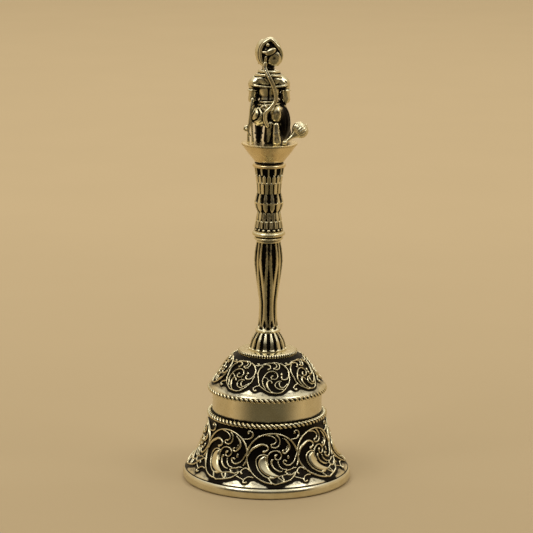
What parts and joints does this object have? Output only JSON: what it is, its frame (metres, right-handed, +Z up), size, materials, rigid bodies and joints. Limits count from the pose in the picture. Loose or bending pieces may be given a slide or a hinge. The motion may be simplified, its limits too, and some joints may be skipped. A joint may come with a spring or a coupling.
{
  "type": "hand bell",
  "caption": "Brass puja hand bell with a scroll-decorated cup, a fluted handle topped by a kneeling tailed figure, and a clapper hung on a link.",
  "frame": {"origin": "centre of the rim's resting plane, on the bell's axis", "axes": "+Z up the handle, +Y the way the figure faces, +X to the figure's right-hand side as seen from behind"},
  "size_m": [0.0824, 0.0824, 0.2168],
  "materials": {
    "patina_brass": "antiqued cast brass, dark in the recesses, satin on the waist band and polished at the lip",
    "relief_brass": "raised relief, polished on top and blackened in the grooves",
    "gold_brass": "smooth warm polished brass",
    "figure_brass": "cast brass, polished high spots and black patina in the folds",
    "inner_brass": "plain turned brass",
    "rod_steel": "plain bright rod"
  },
  "bodies": {
    "bell": {"bell_shell": "patina_brass", "skirt_scrollwork": "relief_brass", "dome_scrollwork": "relief_brass", "skirt_rope": "relief_brass", "shoulder_rope": "relief_brass", "crown_plate": "gold_brass", "handle_foot": "relief_brass", "fluted_grip": "relief_brass", "middle_collar": "relief_brass", "lower_petal_sleeve": "relief_brass", "lotus_knop": "relief_brass", "upper_petal_sleeve": "relief_brass", "capital": "gold_brass", "figure_plinth": "gold_brass", "figure_body": "figure_brass", "figure_head": "figure_brass", "headdress": "figure_brass", "shawl": "figure_brass", "waist_sash": "figure_brass", "tail": "figure_brass", "mace": "figure_brass", "tie_rod": "rod_steel", "crown_washer": "inner_brass", "crown_nut": "inner_brass", "clapper_eye": "inner_brass"},
    "clapper_link": {"clapper_link": "inner_brass"},
    "clapper": {"clapper_rod": "inner_brass", "clapper_ball": "inner_brass"}
  },
  "joints": [
    {"name": "link_swing", "type": "hinge", "parent": "bell", "child": "clapper_link", "pos_m": [0, 0, 0.04461], "axis": [1, 0, 0], "range_deg": [-26, 26]},
    {"name": "clapper_swing", "type": "hinge", "parent": "clapper_link", "child": "clapper", "pos_m": [0, 0, 0.03807], "axis": [0, 1, 0], "range_deg": [-35.5, 35.5]}
  ]
}
